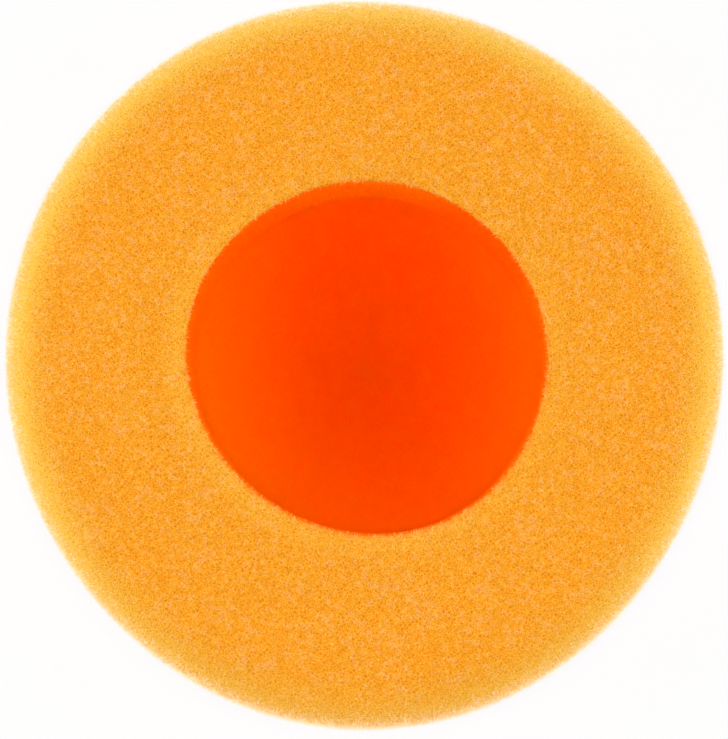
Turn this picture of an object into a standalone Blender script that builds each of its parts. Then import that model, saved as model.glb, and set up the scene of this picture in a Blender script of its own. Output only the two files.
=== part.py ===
# Foam polishing pad with a large centre hole.
#
# The pad is a bonded stack of round layers, listed from the back to the working face:
#   loop_fabric     knitted loop cloth that a polisher's hook plate grips
#   back_adhesive   film between the cloth and the interface foam
#   interface_foam  thin, fine-celled foam disc that carries the working foam
#   face_adhesive   ring of film between the two foams
#   work_foam       thick ring of open-cell foam, with a rounded shoulder and a hole
#
# Units are metres and +Z is up. The origin is on the pad's axis, at the lowest point of the
# loop cloth, so the pad stands on its back with the working face up.

import math

import bmesh
import bpy

# Working foam
PAD_DIAMETER = 0.1000
HOLE_DIAMETER = 0.0500
WORK_THICKNESS = 0.0270
SHOULDER_WIDTH = 0.0063         # how far in from the outline the face starts to roll off
SHOULDER_DROP = 0.0072          # how far down the flank the roll-off ends
RIM_RADIUS = 0.0010             # soft edge where the face meets the hole
FOOT_RADIUS = 0.0010            # soft edge where the flank and the hole meet the back
FLANK_DRAW_IN = 0.0012          # how much the flank draws in from its widest point to the back

# Interface foam
INTERFACE_THICKNESS = 0.0060
INTERFACE_INSET = 0.0004        # step in from the working foam's flank
INTERFACE_EDGE_RADIUS = 0.0008

# Adhesive films
FILM_THICKNESS = 0.0004
FILM_INSET = 0.0008             # how far a film's edge stays in from the foam that it bonds

# Loop cloth
FABRIC_THICKNESS = 0.0020
FABRIC_INSET = 0.0010           # step in from the interface foam's edge
FABRIC_EDGE_RADIUS = 0.0005

# Clearance between two layers that rest on each other
LAYER_GAP = 0.0003

# Finishes, as linear colour and roughness
FABRIC_FINISH = ((0.78, 0.78, 0.76), 0.95)      # off-white nylon
FILM_FINISH = ((0.86, 0.82, 0.70), 0.45)        # milky hot-melt film
INTERFACE_FINISH = ((1.00, 0.065, 0.002), 0.92)     # red-orange foam
WORK_FINISH = ((0.955, 0.356, 0.026), 0.95)     # light orange foam

# Smoothness of the turned shapes
TURN_STEPS = 96
SHOULDER_STEPS = 8
FLANK_STEPS = 6
EDGE_STEPS = 3
SHARP_ANGLE = math.radians(40)

# Heights of the layers, stacked from the back
FABRIC_TOP = FABRIC_THICKNESS
BACK_FILM_BASE = FABRIC_TOP + LAYER_GAP
BACK_FILM_TOP = BACK_FILM_BASE + FILM_THICKNESS
INTERFACE_BASE = BACK_FILM_TOP + LAYER_GAP
INTERFACE_TOP = INTERFACE_BASE + INTERFACE_THICKNESS
FACE_FILM_BASE = INTERFACE_TOP + LAYER_GAP
FACE_FILM_TOP = FACE_FILM_BASE + FILM_THICKNESS
WORK_BASE = FACE_FILM_TOP + LAYER_GAP

# Radii of the layers, each worked out from the one that it is bonded to
WORK_RADIUS = PAD_DIAMETER / 2
HOLE_RADIUS = HOLE_DIAMETER / 2
WORK_BACK_RADIUS = WORK_RADIUS - FLANK_DRAW_IN
INTERFACE_RADIUS = WORK_BACK_RADIUS - INTERFACE_INSET
FACE_FILM_RADIUS = INTERFACE_RADIUS - FILM_INSET
FACE_FILM_HOLE_RADIUS = HOLE_RADIUS + FILM_INSET
FABRIC_RADIUS = INTERFACE_RADIUS - FABRIC_INSET
BACK_FILM_RADIUS = FABRIC_RADIUS - FILM_INSET


def arc(centre, radii, start, end, steps):
    # Points (radius, height) along a quarter round. Angles are in degrees, 0 outwards and
    # 90 up, and radii gives the half widths across and along the axis.
    points = []
    for step in range(steps + 1):
        angle = math.radians(start + (end - start) * step / steps)
        across = centre[0] + radii[0] * math.cos(angle)
        along = centre[1] + radii[1] * math.sin(angle)
        points.append((across, along))
    return points


def work_section():
    # Half section of the working foam: up the hole, out over the face, down the flank.
    top = WORK_BASE + WORK_THICKNESS
    points = arc((HOLE_RADIUS + FOOT_RADIUS, WORK_BASE + FOOT_RADIUS),
                 (FOOT_RADIUS, FOOT_RADIUS), 270, 180, EDGE_STEPS)
    points += arc((HOLE_RADIUS + RIM_RADIUS, top - RIM_RADIUS),
                  (RIM_RADIUS, RIM_RADIUS), 180, 90, EDGE_STEPS)
    points += arc((WORK_RADIUS - SHOULDER_WIDTH, top - SHOULDER_DROP),
                  (SHOULDER_WIDTH, SHOULDER_DROP), 90, 0, SHOULDER_STEPS)
    # The flank leaves the shoulder upright and draws in towards the back.
    flank_top = top - SHOULDER_DROP
    flank_base = WORK_BASE + FOOT_RADIUS
    for step in range(1, FLANK_STEPS):
        down = step / FLANK_STEPS
        height = flank_top + (flank_base - flank_top) * down
        points.append((WORK_RADIUS - FLANK_DRAW_IN * down ** 2, height))
    points += arc((WORK_BACK_RADIUS - FOOT_RADIUS, WORK_BASE + FOOT_RADIUS),
                  (FOOT_RADIUS, FOOT_RADIUS), 0, -90, EDGE_STEPS)
    return points


def disc_section(radius, base, thickness, edge_radius):
    # Half section of a round disc with a soft edge, from the axis out and back to the axis.
    top = base + thickness
    points = [(0.0, top)]
    points += arc((radius - edge_radius, top - edge_radius),
                  (edge_radius, edge_radius), 90, 0, EDGE_STEPS)
    points += arc((radius - edge_radius, base + edge_radius),
                  (edge_radius, edge_radius), 0, -90, EDGE_STEPS)
    points.append((0.0, base))
    return points


def film_section(radius, base, hole_radius=0.0):
    # Half section of a thin square-edged film, with or without a hole.
    top = base + FILM_THICKNESS
    return [(hole_radius, top), (radius, top), (radius, base), (hole_radius, base)]


def layer_material(name, finish):
    colour, roughness = finish
    material = bpy.data.materials.new(name)
    material.use_nodes = True
    shader = material.node_tree.nodes["Principled BSDF"]
    shader.inputs["Base Color"].default_value = (*colour, 1.0)
    shader.inputs["Roughness"].default_value = roughness
    shader.inputs["Metallic"].default_value = 0.0
    material.diffuse_color = (*colour, 1.0)
    return material


def turned_layer(name, section, material, parent):
    # Turns a half section about the pad's axis. A section with a hole is closed into a loop
    # first, and one that starts and ends on the axis closes itself there.
    bm = bmesh.new()
    verts = [bm.verts.new((radius, 0.0, height)) for radius, height in section]
    edges = [bm.edges.new(pair) for pair in zip(verts, verts[1:])]
    has_hole = section[0][0] > 0.0
    if has_hole:
        edges.append(bm.edges.new((verts[-1], verts[0])))
    bmesh.ops.spin(bm, geom=verts + edges, cent=(0, 0, 0), axis=(0, 0, 1),
                   angle=2 * math.pi, steps=TURN_STEPS, use_merge=True)
    bmesh.ops.remove_doubles(bm, verts=bm.verts, dist=1e-6)
    bmesh.ops.recalc_face_normals(bm, faces=bm.faces)

    mesh = bpy.data.meshes.new(name)
    bm.to_mesh(mesh)
    bm.free()
    mesh.shade_smooth()
    mesh.set_sharp_from_angle(angle=SHARP_ANGLE)
    mesh.materials.append(material)

    layer = bpy.data.objects.new(name, mesh)
    layer.parent = parent
    bpy.context.collection.objects.link(layer)
    return layer


def build_pad():
    pad = bpy.data.objects.new("pad", None)
    pad.empty_display_size = WORK_RADIUS
    bpy.context.collection.objects.link(pad)

    fabric = layer_material("loop_fabric", FABRIC_FINISH)
    film = layer_material("adhesive_film", FILM_FINISH)
    interface = layer_material("interface_foam", INTERFACE_FINISH)
    work = layer_material("work_foam", WORK_FINISH)

    turned_layer("loop_fabric",
                 disc_section(FABRIC_RADIUS, 0.0, FABRIC_THICKNESS, FABRIC_EDGE_RADIUS),
                 fabric, pad)
    turned_layer("back_adhesive",
                 film_section(BACK_FILM_RADIUS, BACK_FILM_BASE), film, pad)
    turned_layer("interface_foam",
                 disc_section(INTERFACE_RADIUS, INTERFACE_BASE, INTERFACE_THICKNESS,
                              INTERFACE_EDGE_RADIUS),
                 interface, pad)
    turned_layer("face_adhesive",
                 film_section(FACE_FILM_RADIUS, FACE_FILM_BASE, FACE_FILM_HOLE_RADIUS),
                 film, pad)
    turned_layer("work_foam", work_section(), work, pad)


for old in list(bpy.data.objects):
    bpy.data.objects.remove(old, do_unlink=True)
build_pad()
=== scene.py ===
import math
import random

import bmesh
import bpy
import numpy as np
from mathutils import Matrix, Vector, noise


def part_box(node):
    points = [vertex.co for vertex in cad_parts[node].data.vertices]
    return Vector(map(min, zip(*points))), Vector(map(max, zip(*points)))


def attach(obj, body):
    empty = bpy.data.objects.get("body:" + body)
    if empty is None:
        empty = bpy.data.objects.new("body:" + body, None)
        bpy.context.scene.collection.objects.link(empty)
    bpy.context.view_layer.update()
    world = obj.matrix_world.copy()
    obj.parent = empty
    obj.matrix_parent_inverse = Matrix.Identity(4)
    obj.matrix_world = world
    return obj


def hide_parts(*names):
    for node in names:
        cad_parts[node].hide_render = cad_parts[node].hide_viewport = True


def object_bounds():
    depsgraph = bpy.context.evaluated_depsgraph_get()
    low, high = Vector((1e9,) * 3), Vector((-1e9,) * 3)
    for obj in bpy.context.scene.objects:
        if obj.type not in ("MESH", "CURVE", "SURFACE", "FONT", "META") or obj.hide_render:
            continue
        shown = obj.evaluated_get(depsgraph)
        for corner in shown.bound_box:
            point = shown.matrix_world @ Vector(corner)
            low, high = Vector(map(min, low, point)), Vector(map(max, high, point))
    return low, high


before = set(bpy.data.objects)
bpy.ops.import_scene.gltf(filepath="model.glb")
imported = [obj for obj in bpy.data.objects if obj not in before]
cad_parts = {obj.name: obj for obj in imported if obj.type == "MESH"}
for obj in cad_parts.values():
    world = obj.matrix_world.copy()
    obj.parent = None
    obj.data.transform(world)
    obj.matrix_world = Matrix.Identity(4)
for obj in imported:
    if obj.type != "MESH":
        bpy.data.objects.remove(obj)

mm = 0.001
cadBox = [list(corner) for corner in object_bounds()]


# Small helpers that every piece uses

def linearColour(hexColour):
    # sRGB hex to the linear values that Blender's sockets take
    parts = [int(hexColour[i:i + 2], 16) / 255 for i in (1, 3, 5)]
    linear = [c / 12.92 if c <= 0.04045 else ((c + 0.055) / 1.055) ** 2.4 for c in parts]
    return (*linear, 1.0)


def addNode(tree, kind, values=None, links=None, **settings):
    # one node with its settings, its socket values and what feeds it
    node = tree.nodes.new(kind)
    for name, value in settings.items():
        setattr(node, name, value)
    for socket, value in (values or {}).items():
        node.inputs[socket].default_value = value
    for socket, source in (links or {}).items():
        tree.links.new(source, node.inputs[socket])
    return node


def setStops(ramp, stops):
    # colour ramp stops, as position and hex colour
    elements = ramp.color_ramp.elements
    while len(elements) > 1:
        elements.remove(elements[-1])
    elements[0].position = stops[0][0]
    elements[0].color = linearColour(stops[0][1])
    for position, hexColour in stops[1:]:
        elements.new(position).color = linearColour(hexColour)


def blankMaterial(name):
    material = bpy.data.materials.new(name)
    material.use_nodes = True
    material.node_tree.nodes.clear()
    return material, material.node_tree


def newPiece(name, mesh, materials, replaced=()):
    piece = bpy.data.objects.new(name, mesh)
    bpy.context.collection.objects.link(piece)
    mesh.materials.clear()
    for material in materials:
        mesh.materials.append(material)
    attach(piece, "root")
    if replaced:
        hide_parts(*replaced)
    print(name, len(mesh.polygons), "faces")
    return piece


def readVectors(layer, name):
    values = np.empty(len(layer) * 3, np.float32)
    layer.foreach_get(name, values)
    return values.reshape(-1, 3).astype(float)


def writePoints(mesh, points):
    mesh.vertices.foreach_set("co", points.astype(np.float32).ravel())
    mesh.update()


def writeValues(mesh, name, values):
    layer = mesh.attributes.new(name, "FLOAT", "POINT")
    layer.data.foreach_set("value", values.astype(np.float32))


def readValues(mesh, name):
    values = np.empty(len(mesh.vertices), np.float32)
    mesh.attributes[name].data.foreach_get("value", values)
    return values


def smoothStep(low, high, values):
    t = np.clip((values - low) / (high - low), 0, 1)
    return t * t * (3 - 2 * t)


def appliedMesh(holder, name):
    # the mesh that an object's modifiers make, after which the object itself goes
    depsgraph = bpy.context.evaluated_depsgraph_get()
    mesh = bpy.data.meshes.new_from_object(holder.evaluated_get(depsgraph), depsgraph=depsgraph)
    mesh.name = name
    source = holder.data
    bpy.data.objects.remove(holder)
    bpy.data.meshes.remove(source)
    return mesh


# Half sections, as (radius, height) points, and the turned meshes made from them

def roundPoints(centre, radii, start, end, steps):
    points = []
    for step in range(steps + 1):
        angle = math.radians(start + (end - start) * step / steps)
        points.append((centre[0] + radii[0] * math.cos(angle),
                       centre[1] + radii[1] * math.sin(angle)))
    return points


def straightPoints(start, end, spacing):
    # the inner points of a straight run, without its ends
    steps = max(2, round(math.dist(start, end) / spacing))
    return [(start[0] + (end[0] - start[0]) * step / steps,
             start[1] + (end[1] - start[1]) * step / steps) for step in range(1, steps)]


def wrapMap(bm, section, steps):
    # a map that runs round the pad and along its section
    outline = np.array(list(section) + [section[0]])
    runs = np.hypot(*np.diff(outline, axis=0).T)
    along = np.concatenate(([0.0], np.cumsum(runs)[:-1])) / runs.sum()
    onAxis = 0.01 * mm
    layer = bm.loops.layers.uv.new("OFBake")
    bm.verts.index_update()
    spots = []
    for vert in bm.verts:
        radius = math.hypot(vert.co.x, vert.co.y)
        nearest = np.argmin((outline[:-1, 0] - radius) ** 2 + (outline[:-1, 1] - vert.co.z) ** 2)
        turn = math.atan2(vert.co.y, vert.co.x) / (2 * math.pi) % 1.0
        spots.append((turn if radius > onAxis else None, along[nearest]))
    widest = 1 + 1 / steps
    longest = 1 + along[-1]
    for face in bm.faces:
        corners = [spots[loop.vert.index] for loop in face.loops]
        turns = [turn for turn, _ in corners if turn is not None]
        crossesSeam = max(turns) - min(turns) > 0.5
        turns = [turn + 1 if crossesSeam and turn < 0.5 else turn for turn in turns]
        middle = sum(turns) / len(turns)
        shares = [share for _, share in corners]
        closesLoop = max(shares) - min(shares) > 0.5
        for loop, (turn, share) in zip(face.loops, corners):
            if turn is None:
                turn = middle
            elif crossesSeam and turn < 0.5:
                turn += 1
            if closesLoop and share < 0.5:
                share += 1
            loop[layer].uv = (turn / widest, share / longest)


faceShuffle = 8     # seed


def orderFaces(bm):
    # A spin numbers its faces anew each time. In one order, each from its lowest corner, they
    # keep what is scattered on them later in the same places. The order is a shuffled one,
    # because things that keep apart settle in rows where the faces run in rows.
    bm.verts.index_update()
    faces = []
    for face in bm.faces:
        corners = [vert.index for vert in face.verts]
        lowest = corners.index(min(corners))
        faces.append(corners[lowest:] + corners[:lowest])
    faces.sort()
    random.Random(faceShuffle).shuffle(faces)
    ordered = bpy.data.meshes.new("ordered")
    ordered.from_pydata([vert.co for vert in bm.verts], [], faces)
    bm.clear()
    bm.from_mesh(ordered)
    bpy.data.meshes.remove(ordered)


def turnedMesh(name, section, steps, levels):
    # spins a half section about the pad's axis, then smooths it with subdivision
    bm = bmesh.new()
    verts = [bm.verts.new((radius, 0.0, height)) for radius, height in section]
    edges = [bm.edges.new(pair) for pair in zip(verts, verts[1:])]
    if section[0][0] > 0.0:
        edges.append(bm.edges.new((verts[-1], verts[0])))
    bmesh.ops.spin(bm, geom=verts + edges, cent=(0, 0, 0), axis=(0, 0, 1),
                   angle=2 * math.pi, steps=steps, use_merge=True)
    bmesh.ops.remove_doubles(bm, verts=bm.verts, dist=0.001 * mm)
    bmesh.ops.recalc_face_normals(bm, faces=bm.faces)
    orderFaces(bm)
    wrapMap(bm, section, steps)
    cage = bpy.data.meshes.new(name + "Cage")
    bm.to_mesh(cage)
    bm.free()

    holder = bpy.data.objects.new(name + "Cage", cage)
    bpy.context.collection.objects.link(holder)
    smooth = holder.modifiers.new("smooth", "SUBSURF")
    smooth.levels = levels
    smooth.render_levels = levels
    mesh = appliedMesh(holder, name)
    mesh.shade_smooth()
    return mesh


# Foam cells, as geometry

cellForm = {
    "bowl": (0.04, 0.42),   # where a cell sinks, from its wall towards the middle of its mouth
    "shallowest": 0.35,     # its depth is this share and a random part of the spread
    "spread": 0.90,
}


def cellPattern(points, cellSize):
    # 0 on a cell's wall and 1 in the middle of its mouth, and a random number per cell
    mouth = np.empty(len(points))
    chance = np.empty(len(points))
    for i, (x, y, z) in enumerate(points / cellSize):
        distances, centres = noise.voronoi((x, y, z))
        mouth[i] = distances[1] - distances[0]
        # any large uneven numbers do here, as long as a cell always gets the same chance
        seed = centres[0]
        chance[i] = math.sin(seed.x * 12.9898 + seed.y * 78.233 + seed.z * 37.719) * 43758.5453
    return mouth, chance - np.floor(chance)


def cutWaves(angle, waves):
    # slow waves round the pad, as of a soft edge that a blade cut: lobes, size and peak
    return sum(size * np.cos(lobes * (angle - math.radians(peak))) for lobes, size, peak in waves)


def foamSurface(mesh, look):
    # sinks open cells into a foam surface and keeps their depth for the painted shade of the
    # deeper cells. Their rims stand proud by a share of the depth, so that the surface keeps its
    # mean place.
    points = readVectors(mesh.vertices, "co")
    normals = readVectors(mesh.vertex_normals, "vector")
    depth = np.zeros(len(points))
    for cellSize, cellDepth in look["cells"]:
        mouth, chance = cellPattern(points, cellSize)
        bowl = smoothStep(*cellForm["bowl"], mouth)
        depth += cellDepth * bowl * (cellForm["shallowest"] + cellForm["spread"] * chance)
    deepest = sum(cellDepth for _, cellDepth in look["cells"])
    writeValues(mesh, "cellDepth", np.clip(depth / deepest, 0, 1))
    depth -= deepest * look["proud"]
    if "openness" in mesh.attributes:
        # torn cells go deeper, but their walls stand no higher for it
        openness = readValues(mesh, "openness")
        depth *= np.where(depth > 0, openness, np.minimum(openness, 1))
    writePoints(mesh, points - normals * depth[:, None])


# Small shapes scattered over a surface, such as torn struts and pile loops

def scatteredMesh(name, surface, shape, look):
    # mask is a point value that scales how many stand there, thick and long are shares of the
    # shape's own size, and apart, where it is given, keeps them at least that far from each other
    tree = bpy.data.node_groups.new(name, "GeometryNodeTree")
    for way in ("INPUT", "OUTPUT"):
        tree.interface.new_socket("Geometry", in_out=way, socket_type="NodeSocketGeometry")
    ground = addNode(tree, "NodeGroupInput").outputs[0]
    mask = addNode(tree, "GeometryNodeInputNamedAttribute", {"Name": look["mask"]},
                   data_type="FLOAT")
    density = look["perSquareMm"] / mm ** 2
    if "apart" in look:
        spots = addNode(tree, "GeometryNodeDistributePointsOnFaces",
                        {"Distance Min": look["apart"], "Density Max": density,
                         "Seed": look["seed"]},
                        {"Mesh": ground, "Density Factor": mask.outputs[0]},
                        distribute_method="POISSON")
    else:
        masked = addNode(tree, "ShaderNodeMath", {1: density}, {0: mask.outputs[0]},
                         operation="MULTIPLY")
        spots = addNode(tree, "GeometryNodeDistributePointsOnFaces", {"Seed": look["seed"]},
                        {"Mesh": ground, "Density": masked.outputs[0]})
    single = addNode(tree, "GeometryNodeObjectInfo", {"Object": shape})
    placed = addNode(tree, "GeometryNodeInstanceOnPoints",
                     links={"Points": spots.outputs["Points"],
                            "Instance": single.outputs["Geometry"],
                            "Rotation": spots.outputs["Rotation"]})
    lean = math.radians(look["lean"])
    leaning = addNode(tree, "FunctionNodeRandomValue",
                      {0: (-lean, -lean, 0.0), 1: (lean, lean, 2 * math.pi), "Seed": 1},
                      data_type="FLOAT_VECTOR")
    leant = addNode(tree, "GeometryNodeRotateInstances", {"Local Space": True},
                    {"Instances": placed.outputs[0], "Rotation": leaning.outputs[0]})
    thin, thick = look["thick"]
    short, long = look["long"]
    scale = addNode(tree, "FunctionNodeRandomValue",
                    {0: (thin, thin, short), 1: (thick, thick, long), "Seed": 2},
                    data_type="FLOAT_VECTOR")
    scaled = addNode(tree, "GeometryNodeScaleInstances", {"Local Space": True},
                     {"Instances": leant.outputs[0], "Scale": scale.outputs[0]})
    solid = addNode(tree, "GeometryNodeRealizeInstances", links={0: scaled.outputs[0]})
    addNode(tree, "NodeGroupOutput", links={0: solid.outputs[0]})

    holder = bpy.data.objects.new(name + "Ground", surface.copy())
    bpy.context.collection.objects.link(holder)
    holder.modifiers.new("scatter", "NODES").node_group = tree
    return appliedMesh(holder, name)


def polarMap(mesh, top):
    # the scattered pieces' map: round the pad, and out and down from the middle of its face
    longest = 110 * mm
    x, y, z = readVectors(mesh.vertices, "co").T
    along = (np.hypot(x, y) + (top - z)) / longest
    turn = np.arctan2(y, x) / (2 * math.pi) % 1.0
    corners = np.empty(len(mesh.loops), np.int32)
    mesh.loops.foreach_get("vertex_index", corners)
    layer = mesh.uv_layers.new(name="OFBake")
    layer.data.foreach_set("uv", np.stack([turn, along], 1)[corners].astype(np.float32).ravel())


# Camera and stage

view = {
    "tilt": 3.0,            # degrees off the pad's axis, towards the near edge
    "distance": 0.90,
    "width": 101.0 * mm,    # what the picture spans at the pad's widest ring
    "aim": (0.0, -0.93 * mm, 29.8 * mm),
}


def makeCamera():
    data = bpy.data.cameras.new("camera")
    data.sensor_width = 36.0
    data.sensor_fit = "HORIZONTAL"
    data.lens = data.sensor_width * view["distance"] / view["width"]
    data.clip_start = 0.01
    data.clip_end = 20.0
    camera = bpy.data.objects.new("camera", data)
    bpy.context.collection.objects.link(camera)
    tilt = math.radians(view["tilt"])
    back = Vector((0.0, -math.sin(tilt), math.cos(tilt)))
    camera.location = Vector(view["aim"]) + back * view["distance"]
    camera.rotation_euler = (tilt, 0.0, 0.0)
    bpy.context.scene.camera = camera
    print("camera", round(data.lens), "mm lens")


studio = {
    # soft boxes: place, size, watts
    "lamps": {
        "softTop": ((0.0, -0.02, 0.85), 0.12, 3.25),
        "softLeft": ((-0.56, -0.02, 0.38), 0.28, 1.35),
        "softRight": ((0.56, -0.02, 0.38), 0.28, 1.20),
        "softFront": ((0.0, -0.54, 0.42), 0.28, 0.60),
        "softBack": ((0.0, 0.58, 0.38), 0.28, 0.60),
    },
    "lampAim": (0.0, 0.0, 0.03),
    "skyRim": 1.50,         # the studio's white sides, and its darker ceiling
    "skyTop": 0.06,
    "skyTurn": (0.0, 0.5),  # how high up the sides turn into ceiling
    "openFront": 0.75,      # how bright the open near side is, next to the others
    "openReach": (-0.9, 0.0),
}


def makeLight():
    for name, (place, size, watts) in studio["lamps"].items():
        data = bpy.data.lights.new(name, "AREA")
        data.shape = "SQUARE"
        data.size = size
        data.energy = watts
        lamp = bpy.data.objects.new(name, data)
        bpy.context.collection.objects.link(lamp)
        lamp.location = place
        towards = Vector(studio["lampAim"]) - Vector(place)
        lamp.rotation_euler = towards.to_track_quat("-Z", "Y").to_euler()
        lamp.visible_camera = False
    world = bpy.data.worlds.new("studio")
    bpy.context.scene.world = world
    world.use_nodes = True
    tree = world.node_tree
    tree.nodes.clear()
    way = addNode(tree, "ShaderNodeTexCoord").outputs["Generated"]
    axes = addNode(tree, "ShaderNodeSeparateXYZ", links={0: way})
    low, high = studio["skyTurn"]
    rim = addNode(tree, "ShaderNodeMapRange",
                  {"From Min": low, "From Max": high, "To Min": studio["skyRim"],
                   "To Max": studio["skyTop"]}, {"Value": axes.outputs["Z"]})
    near, far = studio["openReach"]
    side = addNode(tree, "ShaderNodeMapRange",
                   {"From Min": near, "From Max": far, "To Min": studio["openFront"],
                    "To Max": 1.0}, {"Value": axes.outputs["Y"]})
    level = addNode(tree, "ShaderNodeMath", links={0: rim.outputs[0], 1: side.outputs[0]},
                    operation="MULTIPLY")
    path = addNode(tree, "ShaderNodeLightPath")
    sky = addNode(tree, "ShaderNodeBackground", {"Color": (1, 1, 1, 1)},
                  {"Strength": level.outputs[0]})
    white = addNode(tree, "ShaderNodeBackground", {"Color": (1, 1, 1, 1), "Strength": 1.0})
    mix = addNode(tree, "ShaderNodeMixShader",
                  links={0: path.outputs["Is Camera Ray"], 1: sky.outputs[0], 2: white.outputs[0]})
    addNode(tree, "ShaderNodeOutputWorld", links={"Surface": mix.outputs[0]})
    print("studio", len(studio["lamps"]), "lamps")


paperGround = {
    "colour": "#F6F6F6",
    "whiteShare": 0.92,     # how much of it is plain white to the camera
    "radius": 1.5,
    "gap": 0.05 * mm,       # below the pad's back
}


def makeFloor():
    # white paper keeps a soft shadow and looks nearly white to the camera
    material, tree = blankMaterial("white seamless paper")
    path = addNode(tree, "ShaderNodeLightPath")
    paper = addNode(tree, "ShaderNodeBsdfPrincipled",
                    {"Base Color": linearColour(paperGround["colour"]), "Roughness": 0.9})
    glow = addNode(tree, "ShaderNodeEmission", {"Color": (1, 1, 1, 1), "Strength": 1.0})
    share = addNode(tree, "ShaderNodeMath", {1: paperGround["whiteShare"]},
                    {0: path.outputs["Is Camera Ray"]}, operation="MULTIPLY")
    mix = addNode(tree, "ShaderNodeMixShader",
                  links={0: share.outputs[0], 1: paper.outputs[0], 2: glow.outputs[0]})
    addNode(tree, "ShaderNodeOutputMaterial", links={"Surface": mix.outputs[0]})
    bm = bmesh.new()
    bmesh.ops.create_circle(bm, cap_ends=True, segments=64, radius=paperGround["radius"])
    mesh = bpy.data.meshes.new("paperFloor")
    bm.to_mesh(mesh)
    bm.free()
    mesh.materials.append(material)
    floor = bpy.data.objects.new("paperFloor", mesh)
    bpy.context.collection.objects.link(floor)
    floor.location.z = cadBox[0][2] - paperGround["gap"]
    print("floor", 2 * paperGround["radius"], "m across")


# Foam materials

foamNet = {
    # where each part of the drawn net begins and ends, from a cell's edge to its middle
    "strut": (0.03, 0.15),
    "thread": (0.04, 0.20),
    "mouth": (0.14, 0.40),
    "speck": (0.30, 0.70),      # the range of the grain's noise that shows
    "turn": (0.5, 0.3, 0.9),    # keeps the cells from lining up with the pad's flat faces
    "relief": 0.10 * mm,
}


def foamMaterial(name, look):
    # Open-cell foam scatters light among its struts: the eye sees a net of pale struts round
    # dark ochre cell mouths, no gloss, and a pale bloom where it looks along the surface.
    # the net is painted: pale struts as painted light, dark mouths as painted shade
    material, tree = blankMaterial(name)
    place = addNode(tree, "ShaderNodeTexCoord").outputs["Object"]
    turned = addNode(tree, "ShaderNodeMapping", {"Rotation": foamNet["turn"]}, {"Vector": place})
    place = turned.outputs[0]
    cells = addNode(tree, "ShaderNodeTexVoronoi", {"Scale": 1 / look["cell"], "Randomness": 0.8},
                    {"Vector": place}, feature="DISTANCE_TO_EDGE")
    fine = addNode(tree, "ShaderNodeTexVoronoi", {"Scale": 1 / look["fineCell"]},
                   {"Vector": place}, feature="DISTANCE_TO_EDGE")
    grain = addNode(tree, "ShaderNodeTexNoise", {"Scale": 1 / look["grain"], "Detail": 2.0},
                    {"Vector": place})
    tint = addNode(tree, "ShaderNodeTexNoise", {"Scale": 1 / look["tint"], "Detail": 1.0},
                   {"Vector": place})
    patch = addNode(tree, "ShaderNodeTexNoise", {"Scale": 1 / look["patch"], "Detail": 1.0},
                    {"Vector": place})
    shade = addNode(tree, "ShaderNodeMix", {0: look["patchShare"]},
                    {2: tint.outputs["Fac"], 3: patch.outputs["Fac"]}, data_type="FLOAT")
    sunk = addNode(tree, "ShaderNodeAttribute", attribute_name="cellDepth")

    # each part of the net has its share where its range starts and another where it ends
    grainShare = look["grainShare"]
    parts = {}
    for part, source, atStart, atEnd, fade in (
            ("strut", cells.outputs["Distance"], look["strutShare"], 0.0, "SMOOTHSTEP"),
            ("thread", fine.outputs["Distance"], look["threadShare"], 0.0, "SMOOTHSTEP"),
            ("mouth", cells.outputs["Distance"], 0.0, look["mouthShare"], "SMOOTHSTEP"),
            ("speck", grain.outputs["Fac"], -grainShare, grainShare, "LINEAR")):
        start, end = foamNet[part]
        faded = addNode(tree, "ShaderNodeMapRange",
                        {"From Min": start, "From Max": end, "To Min": atStart, "To Max": atEnd},
                        {"Value": source}, interpolation_type=fade)
        parts[part] = faded.outputs[0]
    net = addNode(tree, "ShaderNodeMath", links={0: parts["strut"], 1: parts["thread"]},
                  operation="ADD")
    pale = addNode(tree, "ShaderNodeMath", links={0: net.outputs[0], 1: parts["speck"]},
                   operation="ADD", use_clamp=True)
    # painted shade, darker in the mouths and more where the cells sink deeper
    deep = addNode(tree, "ShaderNodeMath", {1: look["depthShare"]},
                   {0: sunk.outputs["Fac"], 2: parts["mouth"]}, operation="MULTIPLY_ADD")
    dark = addNode(tree, "ShaderNodeMath", links={0: deep.outputs[0], 1: parts["speck"]},
                   operation="SUBTRACT", use_clamp=True)

    tinted = addNode(tree, "ShaderNodeValToRGB", links={"Fac": shade.outputs[0]})
    setStops(tinted, look["tints"])
    colour = tinted.outputs["Color"]
    # every zone mixes in painted light or shade
    for attribute, hexColour in look["zones"].items():
        zone = addNode(tree, "ShaderNodeAttribute", attribute_name=attribute)
        mixed = addNode(tree, "ShaderNodeMix", {7: linearColour(hexColour)},
                        {0: zone.outputs["Fac"], 6: colour}, data_type="RGBA")
        colour = mixed.outputs[2]
    paler = addNode(tree, "ShaderNodeMix", {7: linearColour(look["strutColour"])},
                    {0: pale.outputs[0], 6: colour}, data_type="RGBA", blend_type="SCREEN")
    shaded = addNode(tree, "ShaderNodeMix", {7: linearColour(look["mouthColour"])},
                     {0: dark.outputs[0], 6: paler.outputs[2]}, data_type="RGBA",
                     blend_type="MULTIPLY")

    height = addNode(tree, "ShaderNodeMath", links={0: net.outputs[0], 1: parts["mouth"]},
                     operation="SUBTRACT")
    relief = addNode(tree, "ShaderNodeBump",
                     {"Strength": look["bump"], "Distance": foamNet["relief"]},
                     {"Height": height.outputs[0]})
    shader = addNode(tree, "ShaderNodeBsdfPrincipled", {
        "Roughness": look["roughness"],
        "IOR": 1.5,
        "Specular IOR Level": look["specular"],
        "Sheen Weight": look["sheen"],
        "Sheen Roughness": look["sheenRoughness"],
        "Sheen Tint": linearColour(look["sheenTint"]),
    }, {"Base Color": shaded.outputs[2], "Normal": relief.outputs[0]})
    addNode(tree, "ShaderNodeOutputMaterial", links={"Surface": shader.outputs[0]})
    return material


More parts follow.
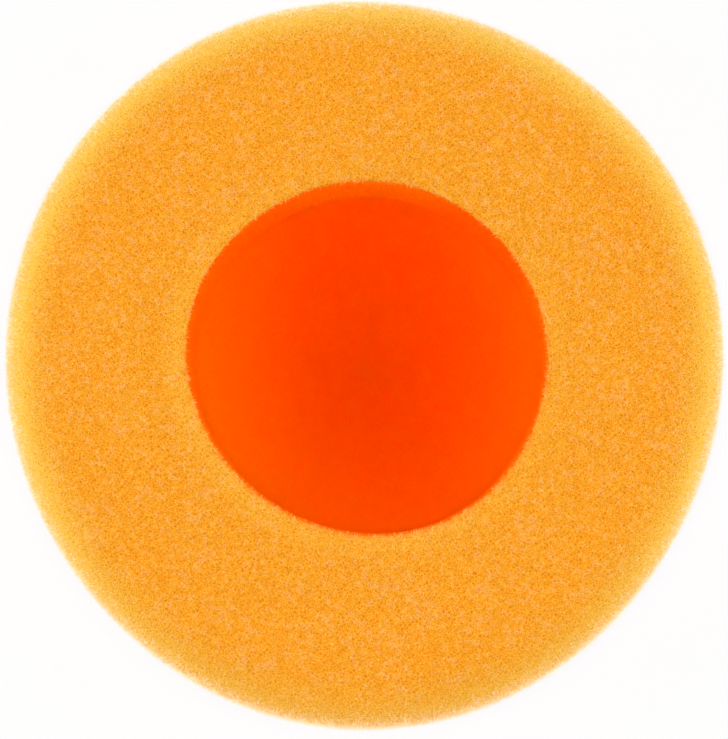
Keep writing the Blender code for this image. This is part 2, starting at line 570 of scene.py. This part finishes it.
def strutMaterial(name, look):
    # Torn struts are thin, so light comes through them and they look paler than the bulk; their
    # pale tints are painted light.
    material, tree = blankMaterial(name)
    place = addNode(tree, "ShaderNodeTexCoord").outputs["Object"]
    chance = addNode(tree, "ShaderNodeTexNoise", {"Scale": 1 / look["tint"], "Detail": 1.0},
                     {"Vector": place})
    tinted = addNode(tree, "ShaderNodeValToRGB", links={"Fac": chance.outputs["Fac"]})
    setStops(tinted, look["tints"])
    zone = addNode(tree, "ShaderNodeAttribute", attribute_name="shaded")
    mixed = addNode(tree, "ShaderNodeMix", {7: linearColour(looseStruts["shaded"])},
                    {0: zone.outputs["Fac"], 6: tinted.outputs["Color"]}, data_type="RGBA")
    shader = addNode(tree, "ShaderNodeBsdfPrincipled",
                     {"Roughness": 0.9, "IOR": 1.5, "Specular IOR Level": 0.0},
                     {"Base Color": mixed.outputs[2]})
    addNode(tree, "ShaderNodeOutputMaterial", links={"Surface": shader.outputs[0]})
    return material


# Working foam: reticulated polyurethane, cut by a die, with a ground shoulder

workFoam = {
    "radius": 49.81 * mm,
    "holeRadius": 24.72 * mm,
    "holeCentre": (0.53 * mm, 0.28 * mm),
    "shoulder": (6.3 * mm, 7.2 * mm),
    "holeTaper": 0.5 * mm,      # the foam is pressed flat when the hole is cut, so it narrows
    "rim": 0.5 * mm,
    "foot": 1.0 * mm,
    "drawIn": 1.2 * mm,
    "spacing": 2.2 * mm,        # length of a face before subdivision, and under the ring
    "baseSpacing": 8 * mm,
    "turnSteps": 125,
    "levels": 3,

    # slow waves round the pad: lobes, size and where one peaks, in degrees
    "outlineWaves": ((2, 0.40 * mm, -85), (3, 0.28 * mm, 25), (4, 0.15 * mm, 9)),
    "holeWaves": ((2, 0.36 * mm, -27), (3, 0.16 * mm, 51), (4, 0.04 * mm, 5), (5, 0.06 * mm, 14)),
    # and as shares: how unevenly the shoulder's painted pale light and its loose struts fall round
    # the pad, how the rim is torn, and the painted light round the hole
    "paleLightAndStrutWaves": ((1, 0.38, 90), (2, 0.16, 0)),
    "tearWaves": ((1, 0.65, -90),),     # most on the side where the die came in last
    "paintedRimLightWaves": ((1, 0.70, -135), (2, 0.25, 0)),

    "cells": ((0.60 * mm, 0.16 * mm),),     # size and depth
    "proud": 0.5,
    "wallOpenness": 0.15,       # the die leaves the hole's wall smoother than the face
    "rimOpenness": 2.4,         # and tears the cells open at its rim

    "zones": {
        # where each finish and each painted light or shade starts and ends, as depths below the
        # face
        "ground": 2.8 * mm,     # the shoulder's painted pale light is palest this far down
        "paleLightFades": (9 * mm, 17 * mm),
        "wall": (0.4 * mm, 1.0 * mm),
        "paintedHoleGlow": (0.3 * mm, 2.0 * mm),
        "flat": 0.05 * mm,
        "shoulder": (0.0, 3.0 * mm),
        "edgeStarts": (1.5 * mm, 6.0 * mm),
        "edgeEnds": (8.0 * mm, 14.0 * mm),
        "holeSkin": 0.8 * mm,
        "lowWall": (18 * mm, 25 * mm),
        # as heights above the foam's foot, and as distances from the axis and the hole
        "clearOfFoot": (0.2 * mm, 1.2 * mm),
        "outside": 40 * mm,
        "paintedRimLight": (1.0 * mm, 4.5 * mm),
        "torn": (0.2 * mm, 0.7 * mm),
        # round the pad, as sines: 0 at the left and right, 1 at the far side
        "sidesStart": (0.2, 0.75),
        "sidesEnd": (0.86, 1.0),
        "farWall": (0.5, 0.9),
    },
    "shares": {
        "paleLightPower": 0.8,     # how soon the shoulder's painted pale light sets in, below 1 is sooner
        "paleLightFades": 0.75,
        "paintedRimLight": 0.14,           # how pale the painted light makes the face round the hole, for light through the thin rim
        "firstStruts": 0.25,    # loose struts where the shoulder starts, next to further down
        "sides": 0.60,          # how much painted shade reddens the wall at its sides, more on the right
        "rightSide": 0.22,
        # painted shade at the foot of the far wall
        "lowWall": 0.8,
        "rimSkin": 0.95,        # how much of the rim's width has the hole's skin
    },
    "look": {
        "cell": 0.51 * mm,      # about 50 cells to the inch
        "fineCell": 0.30 * mm,
        "grain": 0.16 * mm,
        "tint": 0.95 * mm,
        "patch": 4.0 * mm,
        "patchShare": 0.24,
        "tints": ((0.33, "#F58D00"), (0.50, "#F59200"), (0.67, "#F79D48")),
        # painted light and shade: the shoulder's pale bloom, the hole wall's red glow and the
        # shade at its sides
        "zones": {"paintedPaleLight": "#FFC544", "paintedHoleGlow": "#FF9014", "shaded": "#FF7400"},
        "strutColour": "#9C8838",
        "mouthColour": "#E0BC68",
        "strutShare": 0.46,
        "threadShare": 0.46,
        "mouthShare": 0.44,
        "depthShare": 0.05,
        "grainShare": 0.50,
        "bump": 0.35,
        "roughness": 0.92,
        "specular": 0.05,
        "sheen": 1.0,
        "sheenRoughness": 0.33,
        "sheenTint": "#FFF0C4",
    },
    "rimChanges": {
        # the hole's rim has torn-open cells, so it gets more painted shade in their mouths, and it
        # doesn't bloom
        "mouthShare": 0.50,
        "sheen": 0.0,
    },
    "holeChanges": {
        # in the hole light comes back from wall to wall, so cells show less and nothing blooms
        "strutColour": "#602000",
        "strutShare": 0.25,
        "threadShare": 0.10,
        "mouthShare": 0.40,
        "mouthColour": "#FFC890",
        "grainShare": 0.15,
        "bump": 0.0,
        "sheen": 0.0,
    },
}


def workSection(base, top):
    size = workFoam
    spacing = size["spacing"]
    rim = size["rim"]
    foot = size["foot"]
    across, drop = size["shoulder"]
    footRadius = size["radius"] - size["drawIn"]
    holeFoot = size["holeRadius"] - size["holeTaper"] + foot
    section = roundPoints((holeFoot, base + foot), (foot, foot), 270, 180, 2)
    section += straightPoints(section[-1], (size["holeRadius"], top - rim), spacing)
    section += roundPoints((size["holeRadius"] + rim, top - rim), (rim, rim), 180, 90, 2)
    section += straightPoints(section[-1], (size["radius"] - across, top), spacing)
    section += roundPoints((size["radius"] - across, top - drop), (across, drop), 90, 0, 6)
    section += straightPoints(section[-1], (footRadius, base + foot), spacing)
    section += roundPoints((footRadius - foot, base + foot), (foot, foot), 0, -90, 2)
    section += straightPoints(section[-1], section[0], size["baseSpacing"])
    return section


def markZones(mesh, top, base):
    # what each point has of every finish: the shoulder's painted pale light, the hole wall's
    # painted glow and shade, open cells, loose struts
    zones = workFoam["zones"]
    shares = workFoam["shares"]
    x, y, z = readVectors(mesh.vertices, "co").T
    radius = np.hypot(x, y)
    angle = np.arctan2(y, x)
    down = top - z
    drop = workFoam["shoulder"][1]
    outside = radius > zones["outside"]
    aboveFoot = smoothStep(*zones["clearOfFoot"], z - base)
    fromHole = radius - workFoam["holeRadius"]
    nearHole = fromHole < workFoam["rim"]
    onWall = smoothStep(*zones["wall"], down)
    onRim = (1 - onWall) * (1 - smoothStep(*zones["torn"], fromHole))

    # painted light: the shoulder is painted pale for the bloom of light on it, and the face a
    # little round the hole for the light that comes through the thin rim
    ground = np.clip(down / zones["ground"], 0, 1) ** shares["paleLightPower"]
    ground *= 1 - shares["paleLightFades"] * smoothStep(*zones["paleLightFades"], down)
    uneven = 1 + cutWaves(angle, workFoam["paleLightAndStrutWaves"])
    paintedRimLight = shares["paintedRimLight"] * (1 - onWall) * (1 - smoothStep(*zones["paintedRimLight"], fromHole))
    paintedRimLight *= 1 + cutWaves(angle, workFoam["paintedRimLightWaves"])
    writeValues(mesh, "paintedPaleLight", ground * uneven * outside + paintedRimLight)
    # painted glow: the hole's wall is painted a fuller red for the light that bounces round the
    # hole
    writeValues(mesh, "paintedHoleGlow", smoothStep(*zones["paintedHoleGlow"], down) * nearHole)

    # painted shade: the far wall is painted redder towards its sides and its foot, where less
    # light comes through
    side = np.sin(angle)
    sides = smoothStep(*zones["sidesStart"], side) * (1 - smoothStep(*zones["sidesEnd"], side))
    sides *= shares["sides"] + shares["rightSide"] * np.cos(angle)
    low = smoothStep(*zones["lowWall"], down) * smoothStep(*zones["farWall"], side)
    low *= shares["lowWall"]
    writeValues(mesh, "shaded", np.maximum(sides, low) * onWall * nearHole)

    # where the loose struts stand, part by part
    first = shares["firstStruts"]
    growing = first + (1 - first) * smoothStep(*zones["shoulder"], down)
    ending = 1 - smoothStep(*zones["edgeEnds"], down)
    onFace = down < zones["flat"]
    torn = 1 + cutWaves(angle, workFoam["tearWaves"])
    writeValues(mesh, "facePart", onFace * ~nearHole)
    writeValues(mesh, "shoulderPart", ~onFace * (down < drop) * outside * growing * uneven)
    writeValues(mesh, "edgePart", outside * smoothStep(*zones["edgeStarts"], down) * ending)
    writeValues(mesh, "flankPart", (down >= drop) * outside * aboveFoot)
    writeValues(mesh, "holePart", nearHole * (1 - onWall) * torn)
    writeValues(mesh, "wallPart", nearHole * onWall * aboveFoot)

    opened = 1 + (workFoam["rimOpenness"] - 1) * onRim * torn
    opened += (workFoam["wallOpenness"] - 1) * nearHole * onWall
    writeValues(mesh, "openness", opened)


def makeWorkFoam():
    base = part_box("face_adhesive")[1].z
    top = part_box("work_foam")[1].z
    size = workFoam
    mesh = turnedMesh("workFoam", workSection(base, top), size["turnSteps"], size["levels"])
    markZones(mesh, top, base)

    # the outline and the hole are a little out of round, each in its own way
    points = readVectors(mesh.vertices, "co")
    radius = np.hypot(points[:, 0], points[:, 1])
    down = top - points[:, 2]
    angle = np.arctan2(points[:, 1], points[:, 0])
    outer = smoothStep(size["holeRadius"], size["radius"], radius)
    inner = 1 - outer
    push = cutWaves(angle, size["outlineWaves"]) * outer
    push += cutWaves(angle, size["holeWaves"]) * inner
    points[:, 0] += np.cos(angle) * push + size["holeCentre"][0] * inner
    points[:, 1] += np.sin(angle) * push + size["holeCentre"][1] * inner
    writePoints(mesh, points)
    foamSurface(mesh, size)

    # the hole's rim and wall have the same cells, without the bloom of the outer faces
    inHole = radius < size["holeRadius"] + size["rim"] * size["shares"]["rimSkin"]
    skins = (inHole * (1 + (down > size["zones"]["holeSkin"]))).astype(np.int32)
    firsts = np.empty(len(mesh.polygons), np.int32)
    mesh.polygons.foreach_get("loop_start", firsts)
    corners = np.empty(len(mesh.loops), np.int32)
    mesh.loops.foreach_get("vertex_index", corners)
    look = size["look"]
    outerSkin = foamMaterial("reticulated PU foam, light orange", look)
    rimSkin = foamMaterial("reticulated PU foam, cut rim", {**look, **size["rimChanges"]})
    holeSkin = foamMaterial("reticulated PU foam, in the hole", {**look, **size["holeChanges"]})
    piece = newPiece("workFoam", mesh, (outerSkin, rimSkin, holeSkin), ["work_foam"])
    mesh.polygons.foreach_set("material_index", skins[corners[firsts]])
    return mesh, top


# Torn struts: loose ends of the cell edges, three-sided as struts between bubbles are. Real ones
# are about 0.05 mm thick, too fine to show, so they are drawn twice as thick.

looseStruts = {
    "length": 0.42 * mm,
    "foot": 0.060 * mm,     # radius where it leaves the foam
    "buried": 0.10 * mm,
    "shaded": "#FF5E00",    # painted shade: their colour on the shaded parts of the hole's wall
    "patches": {
        "faceStruts": {"mask": "facePart", "perSquareMm": 4.5, "seed": 11, "lean": 75,
                       "thick": (0.6, 1.0), "long": (0.5, 1.0), "tint": 0.9 * mm,
                       "tints": ((0.35, "#F79C0C"), (0.50, "#FFAE34"), (0.65, "#FFC054"))},
        "shoulderStruts": {"mask": "shoulderPart", "perSquareMm": 9.0, "seed": 12, "lean": 55,
                           "thick": (0.5, 1.0), "long": (0.6, 1.3), "tint": 0.9 * mm,
                           "tints": ((0.35, "#FFC460"), (0.50, "#FFD484"), (0.65, "#FFE2A8"))},
        "edgeStruts": {"mask": "edgePart", "perSquareMm": 15.0, "seed": 16, "lean": 45,
                       "thick": (0.4, 0.8), "long": (1.0, 2.4), "tint": 0.9 * mm,
                       "tints": ((0.35, "#FFE4B0"), (0.50, "#FFEECC"), (0.65, "#FFF8E8"))},
        "flankStruts": {"mask": "flankPart", "perSquareMm": 4.0, "seed": 13, "lean": 55,
                        "thick": (0.6, 1.0), "long": (0.6, 1.3), "tint": 0.9 * mm,
                        "tints": ((0.35, "#FFB040"), (0.50, "#FFC060"), (0.65, "#FFD084"))},
        "holeStruts": {"mask": "holePart", "perSquareMm": 14.0, "seed": 14, "lean": 30,
                       "thick": (0.8, 1.5), "long": (0.9, 2.2), "tint": 0.9 * mm,
                       "tints": ((0.35, "#FF9418"), (0.50, "#FFAC3C"), (0.65, "#FFC868"))},
        # the wall's struts are painted deep red for the light that bounces round the hole
        "wallStruts": {"mask": "wallPart", "perSquareMm": 11.0, "seed": 15, "lean": 12,
                       "thick": (1.2, 1.8), "long": (1.0, 1.7), "tint": 0.9 * mm,
                       "tints": ((0.35, "#FF6E00"), (0.50, "#FF7600"), (0.65, "#FF7E00"))},
    },
}


def makeStruts(foamMesh, top):
    size = looseStruts
    bm = bmesh.new()
    bmesh.ops.create_cone(bm, cap_ends=True, segments=3, radius1=size["foot"], radius2=0.0,
                          depth=size["length"])
    bmesh.ops.translate(bm, verts=bm.verts, vec=(0, 0, size["length"] / 2 - size["buried"]))
    mesh = bpy.data.meshes.new("oneStrut")
    bm.to_mesh(mesh)
    bm.free()
    shape = bpy.data.objects.new("oneStrut", mesh)
    for name, patch in size["patches"].items():
        struts = scatteredMesh(name, foamMesh, shape, patch)
        polarMap(struts, top)
        skin = strutMaterial("torn foam struts, " + patch["mask"], patch)
        piece = newPiece(name, struts, [skin])
        piece.visible_shadow = False    # they are thin enough to let the light through
    bpy.data.objects.remove(shape)


# Interface foam: finer, denser polyurethane that closes the hole

interfaceFoam = {
    "edge": 0.8 * mm,
    "spacing": 2.4 * mm,        # length of a face before subdivision: top, edge and underside
    "edgeSpacing": 2.0 * mm,
    "baseSpacing": 6 * mm,
    "turnSteps": 80,
    "levels": 3,
    "cells": ((0.40 * mm, 0.06 * mm),),
    "proud": 0.5,

    # the painted glow of light through the ring on the floor of its hole: where it is least, its
    # shape and its reach
    "glowCentre": (2.2 * mm, 4.0 * mm),
    "glowSlant": 0.06,
    "glowStretch": 0.67,
    "glowReach": (6.7 * mm, 42 * mm),
    "footReach": (23.6 * mm, 24.4 * mm),
    "footTurn": (0.5, 0.95),    # as sines round the pad, 1 at the far side
    "footShare": 0.14,
    "underRing": (27 * mm, 34 * mm),

    "look": {
        "cell": 0.32 * mm,      # about 80 cells to the inch
        "fineCell": 0.24 * mm,
        "grain": 0.20 * mm,
        "tint": 2.0 * mm,
        "patch": 6.0 * mm,
        "patchShare": 0.3,
        "tints": ((0.30, "#FF5000"), (0.50, "#FF5400"), (0.70, "#FF5800")),
        "zones": {"paintedRingGlow": "#FF9000"},
        "strutColour": "#301800",
        "mouthColour": "#FFC8B0",
        "strutShare": 0.25,
        "threadShare": 0.10,
        "mouthShare": 0.35,
        "depthShare": 0.20,
        "grainShare": 0.20,
        "bump": 0.3,
        "roughness": 0.92,
        "specular": 0.0,
        "sheen": 0.0,
        "sheenRoughness": 0.5,
        "sheenTint": "#FF9A50",
    },
}


def makeInterfaceFoam():
    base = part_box("back_adhesive")[1].z
    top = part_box("face_adhesive")[0].z
    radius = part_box("interface_foam")[1].x
    size = interfaceFoam
    edge = size["edge"]
    section = [(0.0, top)]
    section += straightPoints(section[-1], (radius - edge, top), size["spacing"])
    section += roundPoints((radius - edge, top - edge), (edge, edge), 90, 0, 3)
    section += straightPoints(section[-1], (radius, base + edge), size["edgeSpacing"])
    section += roundPoints((radius - edge, base + edge), (edge, edge), 0, -90, 3)
    section += straightPoints(section[-1], (0.0, base), size["baseSpacing"])
    section.append((0.0, base))
    mesh = turnedMesh("interfaceFoam", section, size["turnSteps"], size["levels"])

    # painted light: the floor of the hole is painted paler for light through the ring, most at the
    # left and right and at the foot of the far wall, and not at all where the ring covers the
    # floor
    x, y, _ = readVectors(mesh.vertices, "co").T
    centreX, centreY = size["glowCentre"]
    spread = np.hypot(x + size["glowSlant"] * y - centreX, size["glowStretch"] * (y - centreY))
    out = np.hypot(x, y)
    farSide = y / (out + mm)    # a sine, kept from dividing by nothing on the axis
    atFoot = smoothStep(*size["footReach"], out) * smoothStep(*size["footTurn"], farSide)
    glow = smoothStep(*size["glowReach"], spread) + size["footShare"] * atFoot
    writeValues(mesh, "paintedRingGlow", glow * (1 - smoothStep(*size["underRing"], out)))
    foamSurface(mesh, size)
    foam = foamMaterial("fine-cell PU foam, red-orange", size["look"])
    piece = newPiece("interfaceFoam", mesh, [foam], ["interface_foam"])


# Adhesive films: hot-melt web between the layers, which shows as a thin line round the flank

films = {
    "names": ("face_adhesive", "back_adhesive"),
    "web": 0.8 * mm,
    "relief": 0.05 * mm,
    "tints": ((0.35, "#E3D3A4"), (0.65, "#F2E8C8")),
}


def finishFilms():
    # Hot-melt polyurethane is milky and slightly waxy, with the web's uneven thickness.
    material, tree = blankMaterial("hot-melt polyurethane film")
    place = addNode(tree, "ShaderNodeTexCoord").outputs["Object"]
    web = addNode(tree, "ShaderNodeTexNoise", {"Scale": 1 / films["web"], "Detail": 3.0},
                  {"Vector": place})
    tinted = addNode(tree, "ShaderNodeValToRGB", links={"Fac": web.outputs["Fac"]})
    setStops(tinted, films["tints"])
    relief = addNode(tree, "ShaderNodeBump", {"Strength": 0.4, "Distance": films["relief"]},
                     {"Height": web.outputs["Fac"]})
    shader = addNode(tree, "ShaderNodeBsdfPrincipled", {"Roughness": 0.42, "IOR": 1.5},
                     {"Base Color": tinted.outputs["Color"], "Normal": relief.outputs[0]})
    addNode(tree, "ShaderNodeOutputMaterial", links={"Surface": shader.outputs[0]})
    for name in films["names"]:
        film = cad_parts[name]
        film.data.materials.clear()
        film.data.materials.append(material)
        print(name, "finished")


# Loop cloth: warp-knitted nylon with a standing pile, glued flat under the interface foam

loopCloth = {
    "thickness": 0.9 * mm,      # of the knit without its pile
    "edge": 0.3 * mm,
    "topSpacing": 6 * mm,       # length of a face before subdivision, glued side and back
    "spacing": 2.0 * mm,
    "turnSteps": 100,
    "levels": 2,
    "wale": 1.20 * mm,          # rib spacing across, and stitch spacing along
    "course": 0.85 * mm,
    "ribDepth": 0.07 * mm,
    "backLevel": 0.05 * mm,     # what lies this near the lowest level is the cloth's back
    "yarn": 0.10 * mm,          # radius of a pile loop's yarn
    "loopWidth": 0.42 * mm,     # half of a loop's width
    "loopHeight": 1.25 * mm,
    "loopSunk": 0.1 * mm,
    "bareEdge": 0.6 * mm,       # no loops stand on the cut edge
    "fibre": 0.25 * mm,
    "stitchShare": 0.35,
    "relief": 0.06 * mm,
    "knitTints": ((0.25, "#B9B9B0"), (0.75, "#E9E9E2")),
    "yarnTints": ((0.25, "#CFCFC8"), (0.75, "#F4F4EF")),
    "pile": {"mask": "pilePart", "perSquareMm": 3.0, "apart": 1.12 * mm, "seed": 21, "lean": 24,
             "thick": (0.9, 1.0), "long": (0.85, 1.0)},
}


def clothMaterial(name, tints, ribs):
    # Nylon knit is an off-white, softly shining yarn, with painted shade in the gaps between its
    # stitches.
    material, tree = blankMaterial(name)
    place = addNode(tree, "ShaderNodeTexCoord").outputs["Object"]
    fibre = addNode(tree, "ShaderNodeTexNoise", {"Scale": 1 / loopCloth["fibre"], "Detail": 2.0},
                    {"Vector": place})
    height = fibre.outputs["Fac"]
    if ribs:
        # one sine across the ribs and one along the stitches, as wide as the knit's own
        axes = addNode(tree, "ShaderNodeSeparateXYZ", links={0: place})
        waves = []
        for axis, pitch in (("X", loopCloth["wale"]), ("Y", loopCloth["course"])):
            turns = addNode(tree, "ShaderNodeMath", {1: 2 * math.pi / pitch},
                            {0: axes.outputs[axis]}, operation="MULTIPLY")
            waves.append(addNode(tree, "ShaderNodeMath", links={0: turns.outputs[0]},
                                 operation="SINE").outputs[0])
        stitch = addNode(tree, "ShaderNodeMath", links={0: waves[0], 1: waves[1]},
                         operation="MULTIPLY")
        height = addNode(tree, "ShaderNodeMath", {1: loopCloth["stitchShare"]},
                         {0: stitch.outputs[0], 2: height}, operation="MULTIPLY_ADD").outputs[0]
    tinted = addNode(tree, "ShaderNodeValToRGB", links={"Fac": height})
    setStops(tinted, tints)
    relief = addNode(tree, "ShaderNodeBump", {"Strength": 0.5, "Distance": loopCloth["relief"]},
                     {"Height": height})
    shader = addNode(tree, "ShaderNodeBsdfPrincipled",
                     {"Roughness": 0.62, "IOR": 1.53, "Sheen Weight": 0.3, "Sheen Roughness": 0.4},
                     {"Base Color": tinted.outputs["Color"], "Normal": relief.outputs[0]})
    addNode(tree, "ShaderNodeOutputMaterial", links={"Surface": shader.outputs[0]})
    return material


def oneLoop():
    # a narrow arch of three-sided yarn, closed at its feet, which sit in the ground knit
    bm = bmesh.new()
    bmesh.ops.create_circle(bm, cap_ends=True, segments=3, radius=loopCloth["yarn"])
    bmesh.ops.translate(bm, verts=bm.verts, vec=(loopCloth["loopWidth"], 0, 0))
    bmesh.ops.spin(bm, geom=bm.faces[:], cent=(0, 0, 0), axis=(0, -1, 0), angle=math.pi, steps=6)
    bmesh.ops.recalc_face_normals(bm, faces=bm.faces)
    reach = loopCloth["loopWidth"] + loopCloth["yarn"]
    bmesh.ops.scale(bm, verts=bm.verts, vec=(1, 1, loopCloth["loopHeight"] / reach))
    bmesh.ops.translate(bm, verts=bm.verts, vec=(0, 0, -loopCloth["loopSunk"]))
    mesh = bpy.data.meshes.new("oneLoop")
    bm.to_mesh(mesh)
    bm.free()
    return bpy.data.objects.new("oneLoop", mesh)


def makeLoopCloth():
    size = loopCloth
    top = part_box("back_adhesive")[0].z
    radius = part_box("loop_fabric")[1].x
    base = top - size["thickness"]
    edge = size["edge"]
    section = [(0.0, top)]
    section += straightPoints(section[-1], (radius - edge, top), size["topSpacing"])
    section += roundPoints((radius - edge, top - edge), (edge, edge), 90, 0, 2)
    section += roundPoints((radius - edge, base + edge), (edge, edge), 0, -90, 2)
    section += straightPoints(section[-1], (0.0, base), size["spacing"])
    section.append((0.0, base))
    mesh = turnedMesh("loopGround", section, size["turnSteps"], size["levels"])

    # ribs stand half their depth above and below the back's own level
    points = readVectors(mesh.vertices, "co")
    onBack = points[:, 2] < base + size["backLevel"]
    ribs = np.cos(points[:, 0] * 2 * math.pi / size["wale"])
    points[:, 2] += onBack * ribs * size["ribDepth"] * 0.5
    writePoints(mesh, points)
    inside = np.hypot(points[:, 0], points[:, 1]) < radius - size["bareEdge"]
    writeValues(mesh, "pilePart", onBack * inside)
    knit = clothMaterial("warp-knitted nylon", size["knitTints"], True)
    ground = newPiece("loopGround", mesh, [knit], ["loop_fabric"])

    shape = oneLoop()
    pileMesh = scatteredMesh("loopPile", mesh, shape, size["pile"])
    polarMap(pileMesh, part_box("work_foam")[1].z)
    yarn = clothMaterial("nylon pile yarn", size["yarnTints"], False)
    pile = newPiece("loopPile", pileMesh, [yarn])
    bpy.data.objects.remove(shape)


makeCamera()
makeLight()
makeFloor()
makeLoopCloth()
finishFilms()
makeInterfaceFoam()
makeStruts(*makeWorkFoam())

scene = bpy.context.scene
scene.view_settings.view_transform = "Standard"
